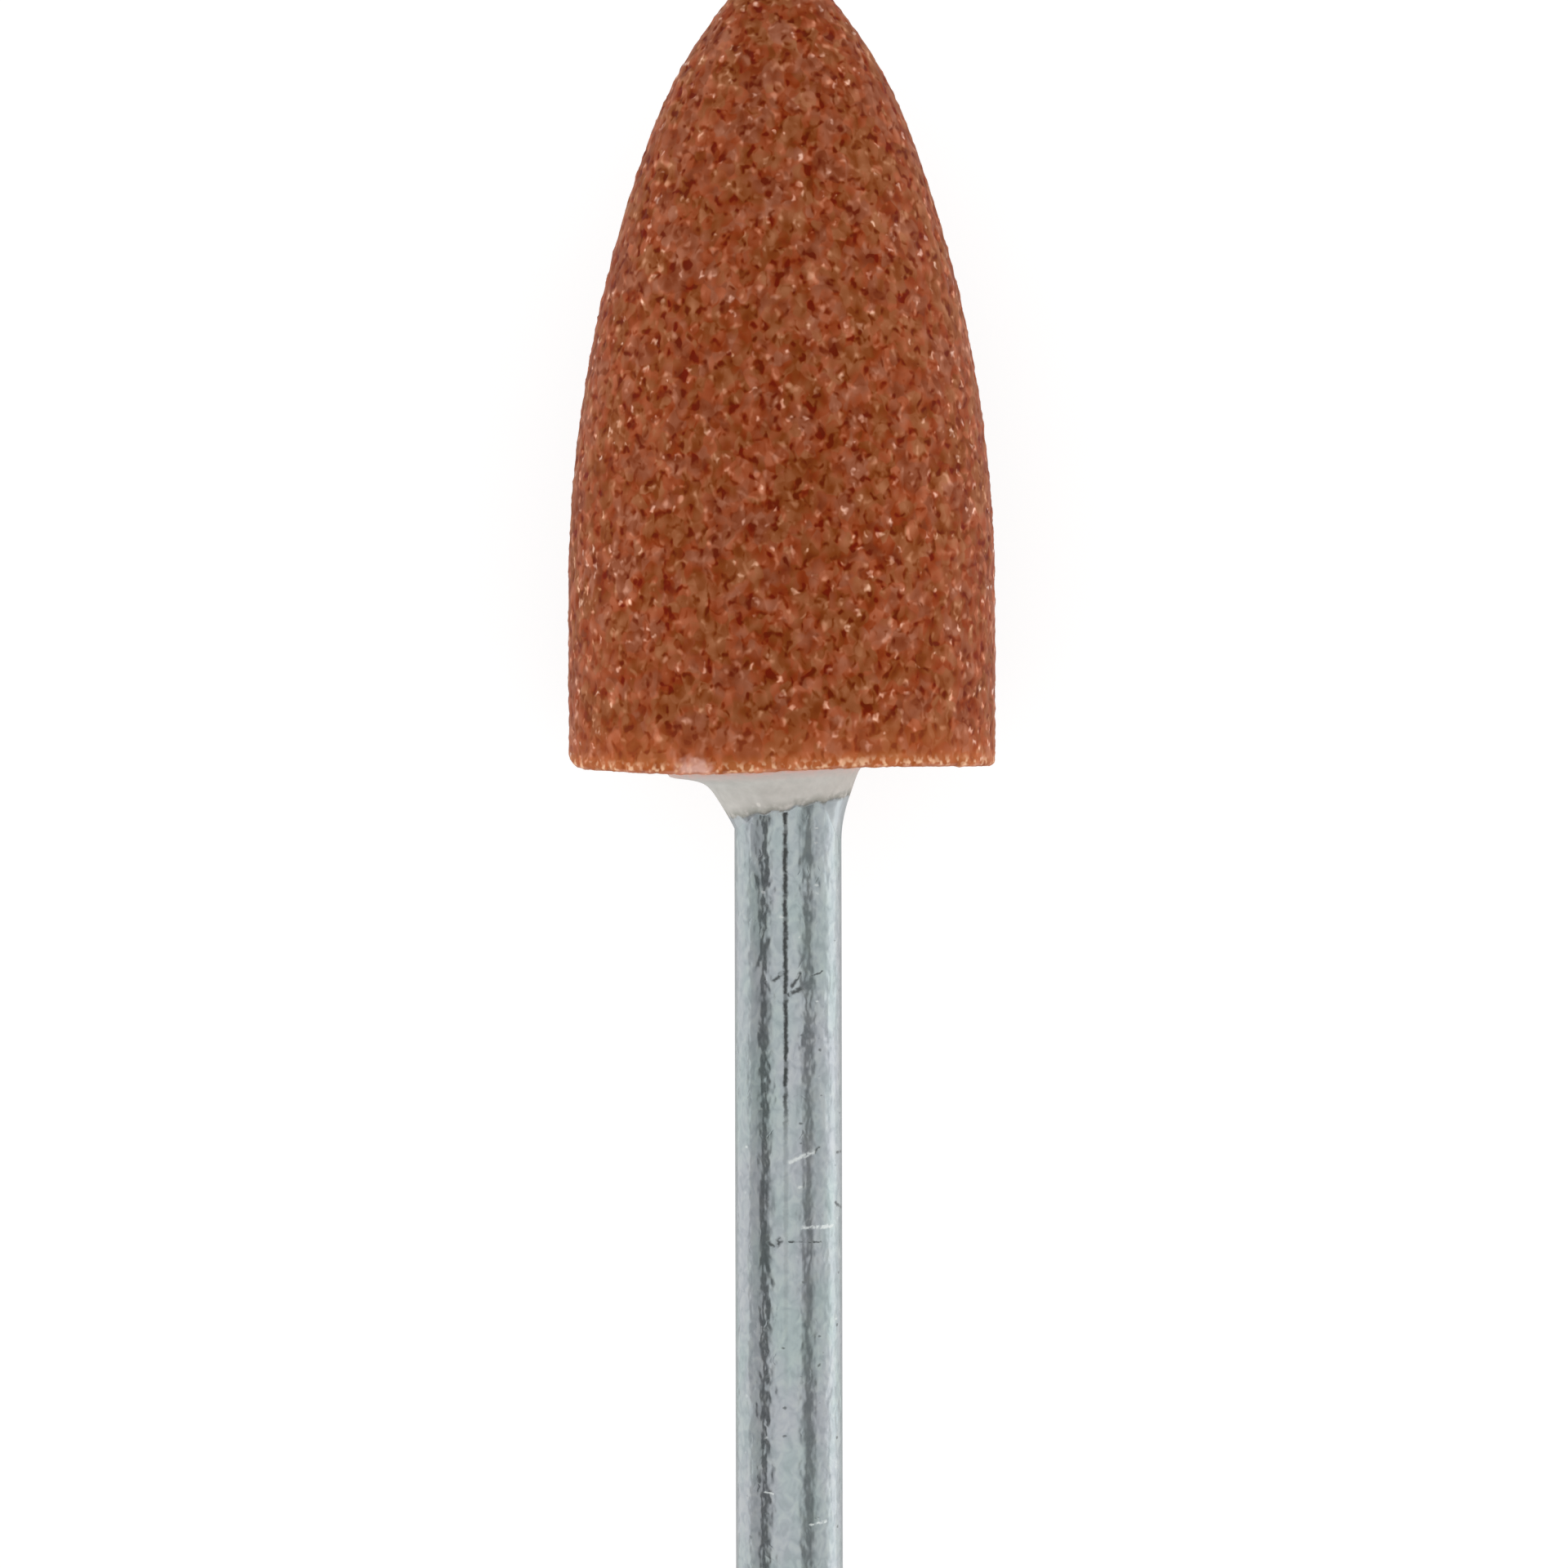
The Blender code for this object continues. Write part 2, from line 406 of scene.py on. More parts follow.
def stamp(piece, name, values):
    """Keeps one number for each corner, which the relief or the material reads."""
    piece.data.attributes.new(name, "FLOAT", "POINT").data.foreach_set("value", values)


def grain(tree, place):
    """What the stone's colour and relief both follow: a mosaic of soft grains with ragged gaps."""
    place = vector(tree, "MULTIPLY", place, GRAIN_STRETCH)
    bent = moved(tree, place, random_shift(tree, place, 2.6, 1.5), GRAIN_BEND)
    cell = voronoi(tree, bent, GRAINS_PER_MM, "SMOOTH_F1")
    cell.inputs["Smoothness"].default_value = 0.35
    return {
        "place": place,
        "bent": bent,
        "cell": cell,
        "soft": cloud(tree, place, 2.9, 0.5),
        "dark": ease(tree, cloud(tree, bent, 4.0, 0.8), 0.47, 0.21),
    }


def relief_of_grain(tree, place):
    """The stone's relief in millimetres: each grain is a low dome, and the gaps lie deeper."""
    fields = grain(tree, place)
    dome = ease(tree, fields["cell"].outputs["Distance"], 0.60, 0.0, -0.5, 0.5)
    swell = calc(tree, "SUBTRACT", fields["soft"], 0.5)
    height = calc(tree, "MULTIPLY_ADD", dome, DOME_HEIGHT, -STANDING_GRAIN)
    height = calc(tree, "MULTIPLY_ADD", swell, SWELL_HEIGHT, height)
    return calc(tree, "MULTIPLY_ADD", fields["dark"], GAP_HEIGHT, height)


def carve(piece, relief):
    """Moves a piece's corners along their normals by a relief in millimetres, where they are grainy."""
    group = bpy.data.node_groups.new("relief", "GeometryNodeTree")
    group.interface.new_socket("Geometry", in_out="INPUT", socket_type="NodeSocketGeometry")
    group.interface.new_socket("Geometry", in_out="OUTPUT", socket_type="NodeSocketGeometry")
    place = put(group, "GeometryNodeInputPosition").outputs["Position"]
    height = relief(group, vector(group, "SCALE", place, scale=1 / MM))
    grainy = put(group, "GeometryNodeInputNamedAttribute", {"Name": "grainy"}).outputs["Attribute"]
    height = times(group, height, MM, grainy)
    normal = put(group, "GeometryNodeInputNormal").outputs["Normal"]
    start = put(group, "NodeGroupInput")
    moves = {"Geometry": start.outputs[0], "Offset": vector(group, "SCALE", normal, scale=height)}
    carved = put(group, "GeometryNodeSetPosition", moves)
    put(group, "NodeGroupOutput", {0: carved.outputs[0]})
    modifier = piece.modifiers.new("relief", "NODES")
    modifier.node_group = group
    bpy.context.view_layer.objects.active = piece
    bpy.ops.object.modifier_apply(modifier=modifier.name)


def above_edge(tree, place, base_mm):
    """How far a place is above the stone's uneven base edge, in millimetres."""
    x, y = parts(tree, place)[:2]
    wave = calc(tree, "SINE", times(tree, x, math.pi * MM / stone_radius))
    up = calc(tree, "SUBTRACT", y, base_mm)
    return calc(tree, "SUBTRACT", up, calc(tree, "MULTIPLY_ADD", wave, BASE_WAVE, BASE_LIFT))


def abrasive(base_mm, axis_mm):
    """Fused red-brown grain: tan, mauve and orange grains, dark red gaps partly painted shade, bright
    crystals partly painted glints, painted light on the base edge.
    """
    material, tree, shader = new_material("abrasive")
    place = place_in_mm(tree)
    fields = grain(tree, place)
    cell_kind = parts(tree, fields["cell"].outputs["Color"])
    up = above_edge(tree, place, base_mm)
    # A band along the base edge, lighter and more orange with painted light that the edge catches
    lit_rim = ease(tree, up, 0.62, 0.25)

    # Torn crystals, partly painted glints, with more of them on the flanks and along the rim as painted
    # highlights
    fray = random_shift(tree, place, 6.0, 0.0)
    chip = voronoi(tree, elsewhere(tree, moved(tree, fields["bent"], fray, 0.20), 21.0), 3.3)
    chip_kind = parts(tree, chip.outputs["Color"])
    core = ease(tree, chip.outputs["Distance"], 0.40, 0.06)
    flank_light = ease(tree, calc(tree, "ABSOLUTE", parts(tree, place)[0]), *FLANK_LIGHT_PLACES)
    kind = calc(tree, "MULTIPLY_ADD", flank_light, 0.16, chip_kind[1])
    kind = calc(tree, "MULTIPLY_ADD", lit_rim, 0.45, kind)
    crystal_and_glint = times(tree, core, ease(tree, kind, 0.54, 1.0))

    # The tone, from the darkest gap to the brightest crystal
    # The gaps are dark partly as painted shade in the recesses, and are painted paler on the flanks as
    # painted light
    gap = times(tree, fields["dark"], calc(tree, "MULTIPLY_ADD", flank_light, -0.3, 1.0))
    glow = ease(tree, cloud(tree, elsewhere(tree, fields["place"], 33.0), 4.4, 0.3), 0.60, 0.86)
    tone = calc(tree, "MULTIPLY_ADD", fields["soft"], 0.40, -0.050)
    for value, amount in ((cell_kind[0], 0.185), (gap, -0.32), (glow, 0.30), (crystal_and_glint, 0.50), (lit_rim, 0.03)):
        tone = calc(tree, "MULTIPLY_ADD", value, amount, tone)
    orange = ramp(tree, tone, (
        (0.00, linear(110, 23, 2)),
        (0.15, linear(133, 52, 15)),
        (0.29, linear(153, 76, 44)),
        (0.44, linear(175, 100, 69)),
        (0.63, linear(208, 135, 104)),
        (1.00, linear(255, 201, 172)),
    ))
    mauve = ramp(tree, tone, (
        (0.00, linear(101, 29, 6)),
        (0.15, linear(124, 58, 29)),
        (0.29, linear(144, 82, 56)),
        (0.44, linear(166, 106, 81)),
        (0.63, linear(199, 140, 116)),
        (1.00, linear(255, 206, 182)),
    ))
    olive = ramp(tree, tone, (
        (0.00, linear(100, 29, 2)),
        (0.15, linear(123, 58, 18)),
        (0.29, linear(143, 82, 48)),
        (0.44, linear(165, 106, 72)),
        (0.63, linear(198, 140, 108)),
        (1.00, linear(255, 206, 174)),
    ))
    hue = cloud(tree, fields["bent"], 1.2, 2.0)
    purple = calc(tree, "MULTIPLY_ADD", cell_kind[1], 0.22, hue)
    yellow = calc(tree, "MULTIPLY_ADD", cell_kind[2], -0.22, hue)
    body = mixed(tree, ease(tree, purple, 0.56, 0.78), orange, mauve)
    body = mixed(tree, ease(tree, yellow, 0.46, 0.26), body, olive)
    # Painted warm light that grows towards the base edge, then the painted light on the edge's band
    body = mixed(tree, ease(tree, up, 1.7, 0.7, 0.0, 0.2), body, linear(*WARM_EDGE_LIGHT))
    body = mixed(tree, times(tree, lit_rim, 0.18), body, linear(*LIT_RIM_ORANGE))

    # Crumbs and pink dust along the rim, and the smear, all fainter on the base face
    normal = put(tree, "ShaderNodeNewGeometry").outputs["Normal"]
    side = ease(tree, parts(tree, normal)[1], -0.9, -0.5, 0.3, 1.0)
    crumb = ease(tree, cloud(tree, elsewhere(tree, fields["place"], 50.0), 5.5, 1.0), 0.48, 0.68)
    crumb = times(tree, crumb, ease(tree, up, 0.45, 0.08, 0.0, 0.8), side)
    body = mixed(tree, crumb, body, linear(*RIM_CRUMB))
    dust = ease(tree, cloud(tree, elsewhere(tree, fields["place"], 71.0), 3.0, 1.0), 0.44, 0.60)
    dust = times(tree, dust, ease(tree, up, 0.16, -0.02, 0.0, 0.7), side)
    body = mixed(tree, dust, body, linear(*PINK_DUST))
    start, end, width = SMEAR
    flat = flattened(tree, moved(tree, place, fray, 0.3))
    smear = stroke(tree, flat, (start[0], start[1] + base_mm), (end[0], end[1] + base_mm), width)
    upper = ease(tree, parts(tree, place)[2], axis_mm, axis_mm + 1.0, 0.0, 0.60)
    body = mixed(tree, times(tree, smear, upper, side), body, linear(*CEMENT_SMEAR))
    plug(tree, shader.inputs["Base Color"], body)
    shader.inputs["Roughness"].default_value = 0.6
    shader.inputs["Specular IOR Level"].default_value = 0.04
    shader.inputs["Sheen Weight"].default_value = 0.10
    shader.inputs["Sheen Roughness"].default_value = 0.4
    shader.inputs["Sheen Tint"].default_value = (1.0, 0.78, 0.64, 1.0)

    # The glassy faces of some crystals, each tilted its own way
    mirror = times(tree, core, ease(tree, chip_kind[1], 0.75, 0.90))
    plug(tree, shader.inputs["Coat Weight"], mirror)
    shader.inputs["Coat Roughness"].default_value = 0.2
    tilt = vector(tree, "SUBTRACT", chip.outputs["Color"], (0.5, 0.5, 0.5))
    facet = vector(tree, "NORMALIZE", moved(tree, normal, tilt, 1.2))
    plug(tree, shader.inputs["Coat Normal"], facet)

    fine = cloud(tree, place, 4.0, 0.5)
    bump = put(tree, "ShaderNodeBump", {"Strength": 0.25, "Distance": 0.05 * MM, "Height": fine})
    plug(tree, shader.inputs["Normal"], bump.outputs["Normal"])
    return material


def curls_of_plating(tree, place):
    """A curly pattern, which the plating's relief follows, and its colour too, as painted shade and
    highlights.
    """
    return cloud(tree, vector(tree, "MULTIPLY", place, (1.0, 0.75, 1.0)), 3.4, 1.6, 0.55, 0.7)


def plate_colour(tree, place):
    """Grey plating with long greenish and lilac patches, and painted shade and highlights that follow the
    relief's curls.
    """
    stretched = vector(tree, "MULTIPLY", place, (1.0, 0.4, 1.0))
    tint = ramp(tree, cloud(tree, stretched, 0.9, 2.0), PLATE_TINTS)
    # Painted shade and highlights, lighter on the bumps of the curls
    painted_shading = ramp(tree, curls_of_plating(tree, place), PLATE_SHADING)
    return mixed(tree, 1.0, tint, painted_shading, "MULTIPLY")


def shaken(tree, place):
    """The place with a small ragged shift, which makes drawn marks uneven."""
    return moved(tree, place, random_shift(tree, place, 5.0, 2.0, 0.6), 0.14)


def plated_relief(tree, place):
    """The plating's small waves, drawn lines and crackle, in millimetres."""
    zone = ease(tree, cloud(tree, elsewhere(tree, place, 7.0), 0.5, 1.0), 0.35, 0.65, 0.5, 1.0)
    waves = cloud(tree, vector(tree, "MULTIPLY", place, (3.4, 2.4, 3.4)), 1.0, 1.2)
    crossing = cloud(tree, elsewhere(tree, shaken(tree, place), 3.0), 2.0, 0.5)
    crack = ease(tree, calc(tree, "ABSOLUTE", calc(tree, "SUBTRACT", crossing, 0.5)), 0.035, 0.0)
    crackle = times(tree, crack, ease(tree, cloud(tree, place, 1.8, 1.0), 0.54, 0.66))
    lines = cloud(tree, vector(tree, "MULTIPLY", place, (7.0, 0.3, 7.0)), 1.0, 1.0)
    height = calc(tree, "MULTIPLY_ADD", crackle, -0.08, waves)
    height = calc(tree, "MULTIPLY_ADD", curls_of_plating(tree, place), 0.17, height)
    height = calc(tree, "MULTIPLY_ADD", lines, 0.06, times(tree, height, zone))
    return times(tree, height, PLATED_RELIEF)


def bumped(tree, shader, height_mm):
    bump = put(tree, "ShaderNodeBump", {"Strength": 1.0, "Distance": MM, "Height": height_mm})
    plug(tree, shader.inputs["Normal"], bump.outputs["Normal"])


def cement_paste(base_mm):
    """Pale matte paste, pink by the stone, with mottled painted shade above its foot and a plated film below
    that.
    """
    material, tree, shader = new_material("cement_paste")
    place = place_in_mm(tree)
    ragged = cloud(tree, place, 7.0, 2.0)
    speckle = cloud(tree, place, 3.0, 3.0, 0.55)
    up = above_edge(tree, place, base_mm)
    above = put(tree, "ShaderNodeAttribute", attribute_name="above_foot").outputs["Fac"]
    above = calc(tree, "MULTIPLY_ADD", calc(tree, "SUBTRACT", ragged, 0.5), 0.08, above)
    is_paste = ease(tree, above, -0.03, 0.03)

    paste = ramp(tree, speckle, ((0.3, linear(*PASTE_DEEP)), (0.7, linear(*PASTE_PALE))))
    pink = times(tree, ease(tree, up, -0.40, 0.06), ease(tree, speckle, 0.40, 0.60, 0.5, 1.0))
    paste = mixed(tree, pink, paste, linear(*PASTE_PINK))
    crumb = times(tree, ease(tree, ragged, 0.46, 0.60), ease(tree, up, -0.14, 0.0, 0.0, 0.75))
    paste = mixed(tree, crumb, paste, linear(*PASTE_CRUMB))
    cell = voronoi(tree, place, 1.6)
    lumpy = ease(tree, parts(tree, cell.outputs["Color"])[0], 0.55, 0.95)
    lump = times(tree, ease(tree, cell.outputs["Distance"], 0.17, 0.05), lumpy, 0.7)
    paste = mixed(tree, lump, paste, linear(*PASTE_LUMP))
    # Mottled painted shade just above the foot
    mottled = ease(tree, cloud(tree, place, 3.6, 2.0), 0.34, 0.56)
    mottled_shade = times(tree, ease(tree, above, 0.32, 0.02), mottled, 0.75)
    paste = mixed(tree, mottled_shade, paste, linear(*PASTE_SHADE))
    film = mixed(tree, 0.3, plate_colour(tree, place), FILM_COLOUR)
    body = mixed(tree, is_paste, film, paste)

    # The dark broken line at the foot, painted shade under the paste's edge, with its blob
    edge = ease(tree, calc(tree, "ABSOLUTE", above), 0.11, 0.0)
    edge = times(tree, edge, ease(tree, ragged, 0.36, 0.60, 0.10, 0.55))
    blob = times(tree, stroke(tree, flattened(tree, shaken(tree, place)), *FOOT_BLOB), 0.7)
    edge = calc(tree, "MAXIMUM", edge, blob)
    body = mixed(tree, edge, body, linear(*FOOT_SHADE_LINE))
    matte = calc(tree, "MAXIMUM", is_paste, edge)
    plug(tree, shader.inputs["Base Color"], body)
    plug(tree, shader.inputs["Metallic"], calc(tree, "SUBTRACT", 1.0, matte))
    plug(tree, shader.inputs["Roughness"], ease(tree, is_paste, 0.0, 1.0, 0.28, 0.6))
    shader.inputs["Specular IOR Level"].default_value = 0.3
    plated = times(tree, plated_relief(tree, place), calc(tree, "SUBTRACT", 1.0, is_paste))
    pasted = times(tree, speckle, 0.012, is_paste)
    bumped(tree, shader, calc(tree, "ADD", plated, pasted))
    return material


def plated_steel(axis_mm):
    """Drawn and plated steel, a little wavy, with a die line, nicks and scratches."""
    material, tree, shader = new_material("plated_steel")
    place = place_in_mm(tree)
    upper = ease(tree, parts(tree, place)[2], axis_mm, axis_mm + 0.1)
    bent = shaken(tree, place)
    flat = flattened(tree, bent)
    y = parts(tree, flat)[1]
    broken = ease(tree, cloud(tree, place, 7.0, 1.0), 0.38, 0.54, 0.25, 0.9)

    # The die line, in patches and fading in two steps
    start, fading, faint, end = DIE_LINE_Y
    fade = ease(tree, y, faint, fading, 0.25, 1.0)
    fade = times(tree, fade, ease(tree, y, end, faint, 0.3, 1.0))
    patchy = cloud(tree, vector(tree, "MULTIPLY", place, (0.0, 1.0, 0.0)), 2.6, 2.0)
    patchy = ease(tree, patchy, 0.36, 0.48, 0.6, 1.0)
    line = stroke(tree, flat, (DIE_LINE_X, start), (DIE_LINE_X, end), DIE_LINE_WIDTH)
    line = times(tree, line, fade, patchy)

    # Small specks all over, of which a few are dark and a few are white
    cell = voronoi(tree, vector(tree, "MULTIPLY", bent, (1.0, 1.6, 1.0)), 1.9)
    kind = parts(tree, cell.outputs["Color"])[0]
    speck = ease(tree, cell.outputs["Distance"], 0.17, 0.06)
    dark_speck = times(tree, speck, ease(tree, kind, 0.24, 0.08, 0.0, 0.7))
    white_speck = times(tree, speck, ease(tree, kind, 0.72, 1.0, 0.0, 0.6))

    nicks = times(tree, strokes(tree, flat, DARK_NICKS), broken)
    dark = times(tree, calc(tree, "MAXIMUM", line, nicks), upper)
    dark = calc(tree, "MAXIMUM", dark, dark_speck)
    scratches = times(tree, strokes(tree, flat, WHITE_SCRATCHES), broken, upper, 0.85)
    white = calc(tree, "MAXIMUM", scratches, white_speck)
    body = mixed(tree, dark, plate_colour(tree, place), linear(*DARK_MARK))
    body = mixed(tree, white, body, linear(*WHITE_MARK))
    marked = calc(tree, "MAXIMUM", dark, white)
    plug(tree, shader.inputs["Base Color"], body)
    plug(tree, shader.inputs["Metallic"], calc(tree, "SUBTRACT", 1.0, marked, clamp=True))
    shader.inputs["Roughness"].default_value = 0.23
    bumped(tree, shader, plated_relief(tree, place))
    return material


def base_lift(x):
    """How far the stone's base edge is off its plane, in millimetres, at a place across."""
    worn = WORN_CORNER[1] * max(0.0, -x - WORN_CORNER[0]) ** 2
    return BASE_LIFT + BASE_WAVE * math.sin(math.pi * x / (stone_radius / MM)) + worn


def worn_nose(points):
    """The stone's outline with the wear of its nose taken off."""
    tip = points[0][1]
    start, full, share = NOSE_WEAR
    return [(r * (1 - share * step_up((y - tip) / MM, -start, -full)), y) for r, y in points]


def make_stone():
    axis = axis_of("stone")
    rows = outline("stone", axis)
    base, bore_end = min(rows), hole_end(rows)
    bore_radius = rows[bore_end][-1]
    outside = worn_nose(refined(outer_side(rows), STONE_STEP))
    across = refined([outside[-1], (bore_radius, base)], BASE_STEP)[1:]
    bore = [(bore_radius, bore_end), (0.0, bore_end)]
    piece = turned("stone_grain", outside + across + bore, axis, STONE_SIDES)
    # The hole's mouth, its end and the point in the middle of that stay smooth
    grainy = np.ones(len(piece.data.vertices), dtype=np.float32)
    grainy[-2 * STONE_SIDES - 1:] = 0.0
    stamp(piece, "grainy", grainy)
    for vertex, shown in zip(piece.data.vertices, grainy):
        nearness = 1 - step_up((vertex.co.y - base) / MM, 0.0, EDGE_FADE)
        vertex.co.y += shown * nearness * base_lift(vertex.co.x / MM) * MM
    carve(piece, relief_of_grain)
    return piece


def step_up(value, low, high):
    """A smooth step from 0 to 1, as a number."""
    share = min(max((value - low) / (high - low), 0.0), 1.0)
    return share * share * (3 - 2 * share)


def foot_height(turn):
    """How far below the stone's base the paste ends on the shank."""
    waves = sum(height * math.sin(lobes * turn + phase) for lobes, height, phase in FOOT_WAVES)
    return FOOT_HEIGHT - FOOT_SLANT * math.cos(turn) + waves


def film_end(turn):
    """How far below the stone's base the film that runs on from the foot ends."""
    right = step_up(math.cos(turn), 0.6, 1.0)
    left = step_up(-math.cos(turn), 0.6, 1.0)
    return foot_height(turn) + FILM_FRONT + FILM_RIGHT * right + FILM_LEFT * left


def collar_reach(turn, height):
    """The collar's distance from the shank's axis, at a height below the stone's base."""
    right = step_up(math.cos(turn), 0.1, 1.0)
    left = step_up(-math.cos(turn), 0.0, 1.0)
    shares = (1 - right - left, left, right)
    flanks = zip(FLANK_FRONT, FLANK_LEFT, FLANK_RIGHT)
    thick, hollow, lap, start, fall = (sum(s * v for s, v in zip(shares, values)) for values in flanks)
    body = thick * max(0.0, 1 - height / film_end(turn)) ** hollow
    lap *= math.exp(-max(0.0, height - start) / fall)
    return shank_radius + FILM_OUTSIDE + body + lap


def bent_ring(axis, base, reaches, heights):
    """A ring with a distance from the axis and a height below the base for each turn."""
    points = []
    for turn, r, h in zip(turns_of(COLLAR_SIDES), reaches, heights):
        x = axis.x + r * math.cos(turn)
        lift = base_lift(x / MM) * MM * (1 - step_up(h / MM, 0.0, EDGE_FADE))
        points.append((x, base - h + lift, axis.z + r * math.sin(turn)))
    return points


def make_cement():
    """The plug and sleeve in the bore, the collar down to its film, and the hole that holds the shank."""
    stone_axis, axis = axis_of("stone"), axis_of("shank")
    stone_rows, shank_rows = outline("stone", stone_axis), outline("shank", axis)
    base, bore_end = min(stone_rows), hole_end(stone_rows)
    sleeve = stone_rows[bore_end][-1] - CEMENT_GAP
    rings = [ring(r, y, stone_axis, COLLAR_SIDES) for r, y in (
        (0.0, bore_end - CEMENT_GAP),
        (sleeve, bore_end - CEMENT_GAP),
        (sleeve, base),
    )]
    marks = [1.0] * sum(len(one) for one in rings)
    turns = turns_of(COLLAR_SIDES)
    for row in range(COLLAR_ROWS + 1):
        share = row / COLLAR_ROWS
        heights = [share * film_end(t) for t in turns]
        reaches = [collar_reach(t, height) for t, height in zip(turns, heights)]
        rings.append(bent_ring(axis, base, reaches, heights))
        marks += [(foot_height(t) - height) / MM for t, height in zip(turns, heights)]
    hug = shank_radius + FILM_INSIDE
    rings.append(bent_ring(axis, base, [hug] * COLLAR_SIDES, heights))
    rings.append(ring(hug, base - HOLE_START, axis, COLLAR_SIDES))
    rings.append(ring(shank_radius + CEMENT_GAP, base - HOLE_FULL, axis, COLLAR_SIDES))
    held = [(r, y) for r, y in reversed(outer_side(shank_rows)) if y > base]
    rings += [ring(r + CEMENT_GAP, y, axis, COLLAR_SIDES) for r, y in held if r > SAME_PLACE]
    rings.append([(axis.x, held[-1][1] + CEMENT_GAP, axis.z)])
    piece = skin("cement_collar", rings)
    marks += [-1.0] * (len(piece.data.vertices) - len(marks))
    stamp(piece, "above_foot", marks)
    return piece


def make_shank():
    axis = axis_of("shank")
    rows = outline("shank", axis)
    points = outer_side(rows) + [(0.0, min(rows))]
    return turned("shank_plated", refined(points, SHANK_STEP), axis, SHANK_SIDES)


def finish_piece(piece, node, material):
    piece.data.materials.append(material)
    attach(piece, "root")
    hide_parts(node)


def make_floor():
    mesh = bpy.data.meshes.new("floor")
    corners = [(x * FLOOR_HALF, y * FLOOR_HALF, FLOOR_HEIGHT) for x, y in SQUARE]
    mesh.from_pydata(corners, [], [(0, 1, 2, 3)])
    floor = bpy.data.objects.new("floor", mesh)
    bpy.context.scene.collection.objects.link(floor)
    material = bpy.data.materials.new("pale_floor")
    material.use_nodes = True
    tree = material.node_tree
    tree.nodes.clear()
    path = put(tree, "ShaderNodeLightPath")
    seen = calc(tree, "MAXIMUM", path.outputs["Is Camera Ray"], path.outputs["Is Glossy Ray"])
    seen = calc(tree, "MAXIMUM", seen, path.outputs["Is Transmission Ray"])
    pale = put(tree, "ShaderNodeBsdfDiffuse", {"Color": (FLOOR_GREY, FLOOR_GREY, FLOOR_GREY, 1.0)})
    shadowed = (FLOOR_SHADOWED, FLOOR_SHADOWED, FLOOR_SHADOWED, 1.0)
    faint = put(tree, "ShaderNodeBsdfDiffuse", {"Color": shadowed})
    white = put(tree, "ShaderNodeEmission", {"Color": WHITE, "Strength": FLOOR_GLOW})
    shown = put(tree, "ShaderNodeAddShader", {0: faint.outputs[0], 1: white.outputs[0]})
    blend = put(tree, "ShaderNodeMixShader", {0: seen, 1: pale.outputs[0], 2: shown.outputs[0]})
    put(tree, "ShaderNodeOutputMaterial", {"Surface": blend.outputs[0]})
    mesh.materials.append(material)


def hang(obj, from_top_deg, distance, middle_y=0.0):
    """Puts a lamp or card round the shank's axis, turned from straight up towards +X, to face the axis."""
    turn = math.radians(from_top_deg)
    centre = axis_of("shank")
    obj.location = (centre.x + distance * math.sin(turn), middle_y, centre.z + distance * math.cos(turn))
    obj.rotation_euler = (0, turn, 0)
    obj.visible_camera = False
    bpy.context.scene.collection.objects.link(obj)


def make_panel(name, from_top_deg, spread_deg, distance, length, radiance, glossy=True):
    """A soft lamp that spans an angle as seen from the shank."""
    width = 2 * distance * math.tan(math.radians(spread_deg) / 2)
    lamp = bpy.data.lights.new(name, "AREA")
    lamp.shape = "RECTANGLE"
    lamp.size, lamp.size_y = width, length
    lamp.energy = radiance * math.pi * width * length
    obj = bpy.data.objects.new(name, lamp)
    obj.visible_glossy = glossy
    hang(obj, from_top_deg, distance)


def make_card(name, from_top_deg, spread_deg, distance, length, grey, middle_y=0.0):
    """A card that only shows in reflections."""
    half_width = distance * math.tan(math.radians(spread_deg) / 2)
    mesh = bpy.data.meshes.new(name)
    mesh.from_pydata([(x * half_width, y * length / 2, 0) for x, y in SQUARE], [], [(0, 1, 2, 3)])
    card = bpy.data.objects.new(name, mesh)
    hang(card, from_top_deg, distance, middle_y)
    card.visible_diffuse = False
    card.visible_shadow = False
    material = bpy.data.materials.new(name)
    material.use_nodes = True
    tree = material.node_tree
    tree.nodes.clear()
    glow = put(tree, "ShaderNodeEmission", {"Color": WHITE, "Strength": grey})
    put(tree, "ShaderNodeOutputMaterial", {"Surface": glow.outputs[0]})
    mesh.materials.append(material)


def make_world():
    world = bpy.data.worlds.new("studio")
    world.use_nodes = True
    tree = world.node_tree
    tree.nodes.clear()
    path = put(tree, "ShaderNodeLightPath")
    soft = put(tree, "ShaderNodeBackground", {"Color": WHITE, "Strength": WORLD_LIGHT})
    white = put(tree, "ShaderNodeBackground", {"Color": WHITE, "Strength": WORLD_SEEN})
    seen = path.outputs["Is Camera Ray"]
    blend = put(tree, "ShaderNodeMixShader", {0: seen, 1: soft.outputs[0], 2: white.outputs[0]})
    put(tree, "ShaderNodeOutputWorld", {"Surface": blend.outputs[0]})
    bpy.context.scene.world = world


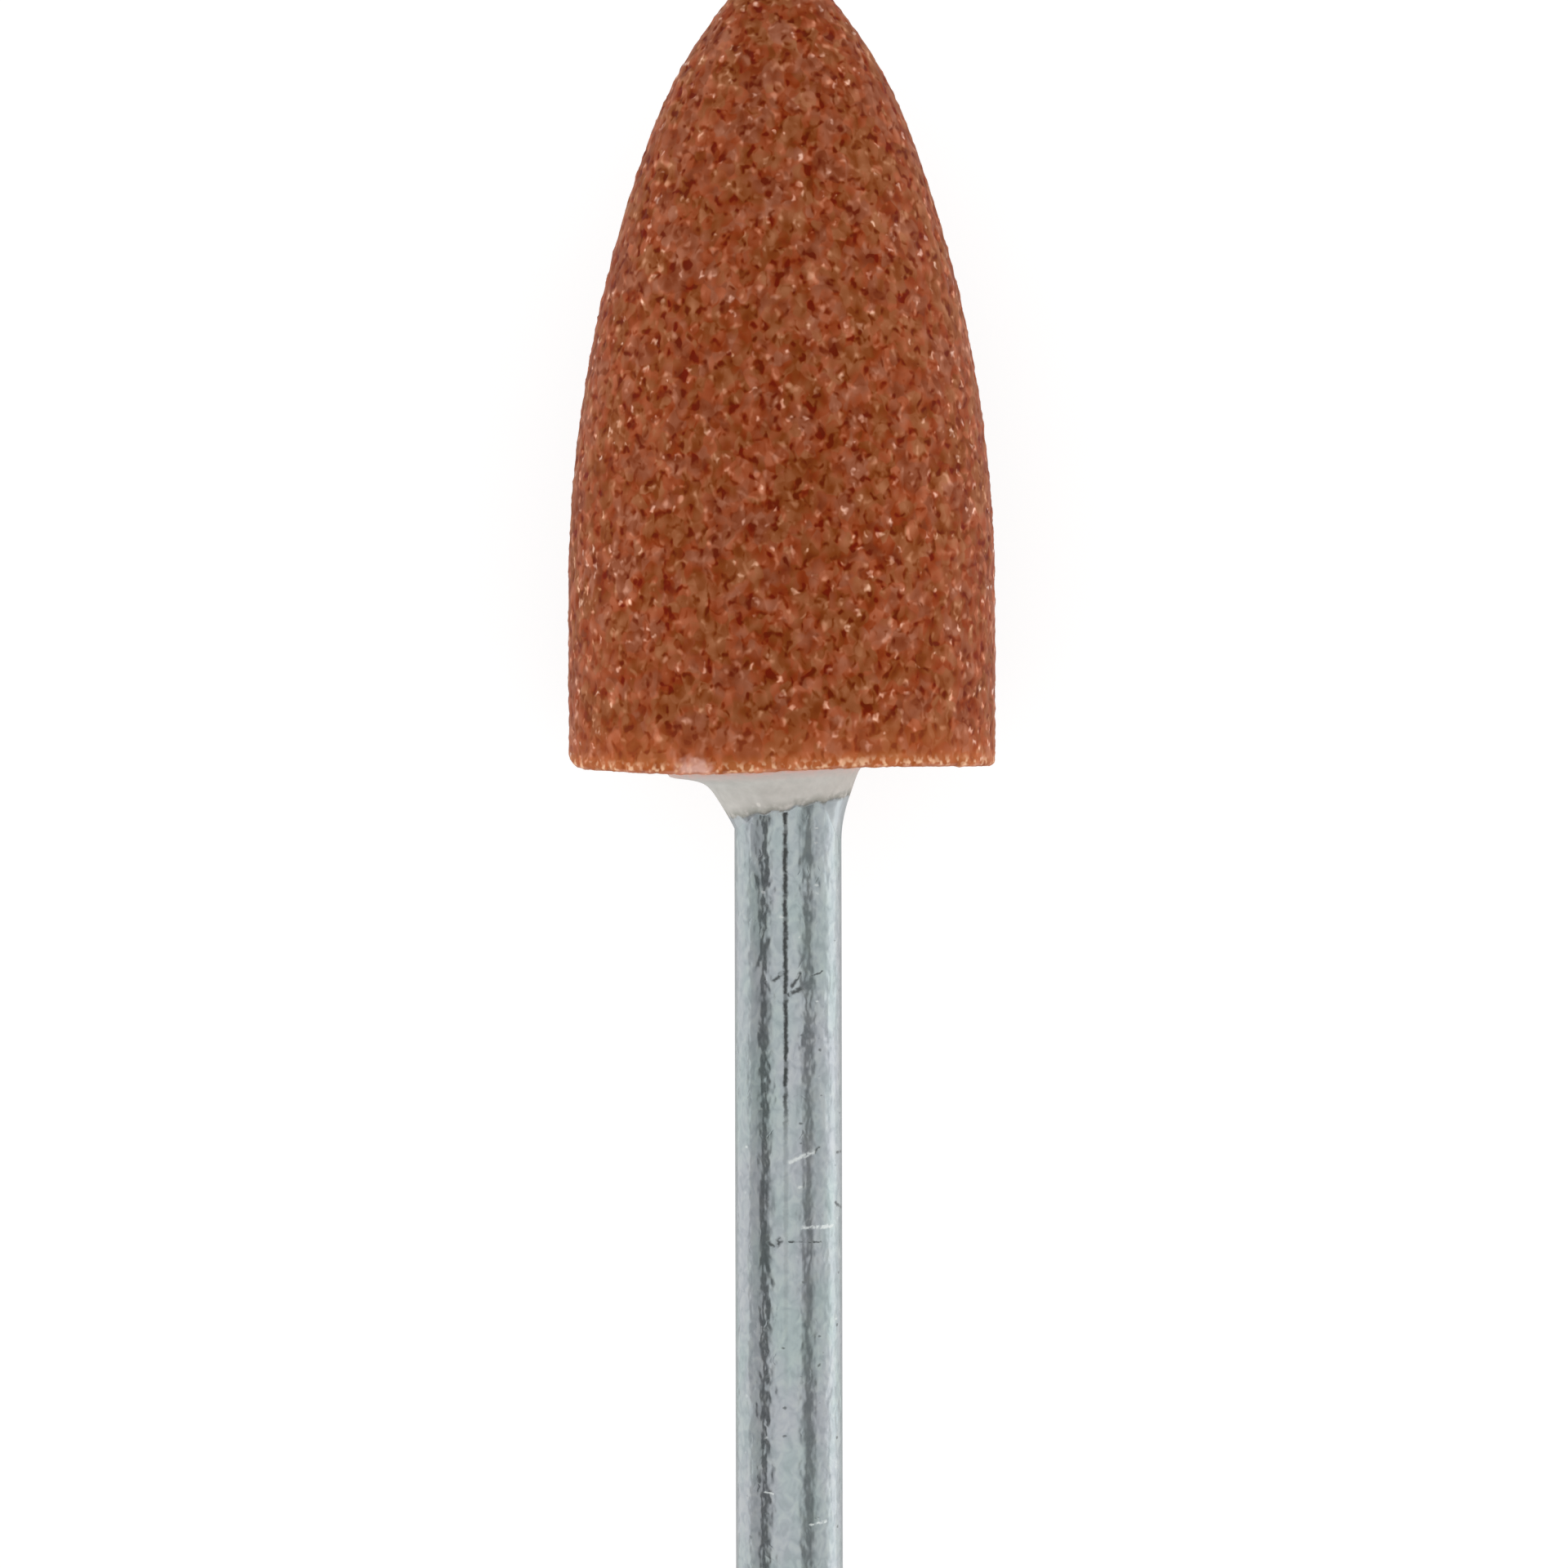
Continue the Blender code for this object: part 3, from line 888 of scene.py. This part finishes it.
def make_camera():
    camera = bpy.data.cameras.new("camera")
    camera.sensor_width = SENSOR_WIDTH
    camera.lens = SENSOR_WIDTH * CAMERA_DISTANCE / PICTURE_WIDTH
    camera.clip_start = CLIP_START
    camera.clip_end = CLIP_END
    obj = bpy.data.objects.new("camera", camera)
    back = Vector((0, math.sin(CAMERA_TILT), math.cos(CAMERA_TILT)))
    obj.location = Vector((*PICTURE_MIDDLE, axis_of("stone").z)) + CAMERA_DISTANCE * back
    obj.rotation_euler = (-CAMERA_TILT, 0, -CAMERA_ROLL)
    bpy.context.scene.collection.objects.link(obj)
    bpy.context.scene.camera = obj


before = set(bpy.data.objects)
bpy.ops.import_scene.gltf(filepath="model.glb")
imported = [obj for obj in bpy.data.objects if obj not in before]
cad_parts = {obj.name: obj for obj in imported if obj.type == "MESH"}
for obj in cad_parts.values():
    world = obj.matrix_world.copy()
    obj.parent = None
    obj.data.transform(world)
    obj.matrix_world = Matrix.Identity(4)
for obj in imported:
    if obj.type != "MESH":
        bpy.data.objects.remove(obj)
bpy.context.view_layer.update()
stone_radius = max(max(reaches) for reaches in outline("stone", axis_of("stone")).values())
shank_radius = max(max(reaches) for reaches in outline("shank", axis_of("shank")).values())
base_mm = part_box("stone")[0].y / MM

finish_piece(make_stone(), "stone", abrasive(base_mm, axis_of("stone").z / MM))
finish_piece(make_cement(), "cement", cement_paste(base_mm))
finish_piece(make_shank(), "shank", plated_steel(axis_of("shank").z / MM))

make_floor()
make_world()
make_camera()

# The studio. After a name come the degrees from straight up towards +X and the degrees that it spans, and
# distances and lengths are in metres. The cards make the light and dark bands on the shank
make_panel("overhead", -5.5, 65, distance=0.40, length=1.0, radiance=0.27)
make_panel("right_glow", 76, 30, distance=0.45, length=0.8, radiance=0.20)
make_card("left_card", -54.2, 17, distance=0.15, length=0.5, grey=0.12)
make_card("right_card", 42.5, 17, distance=0.15, length=0.5, grey=0.27)
make_card("left_shade", -82, 36, distance=0.10, length=0.4, grey=0.68)
make_card("low_glow", 116, 42, distance=0.015, length=0.06, grey=1.5)
make_card("under_shade", 180, 106, distance=0.0032, length=0.031, grey=0.66, middle_y=-0.0128)
make_panel("left_fill", -78, 30, distance=0.45, length=0.8, radiance=1.8, glossy=False)
make_panel("right_fill", 78, 30, distance=0.45, length=0.8, radiance=1.8, glossy=False)

bpy.context.scene.view_settings.view_transform = "Standard"
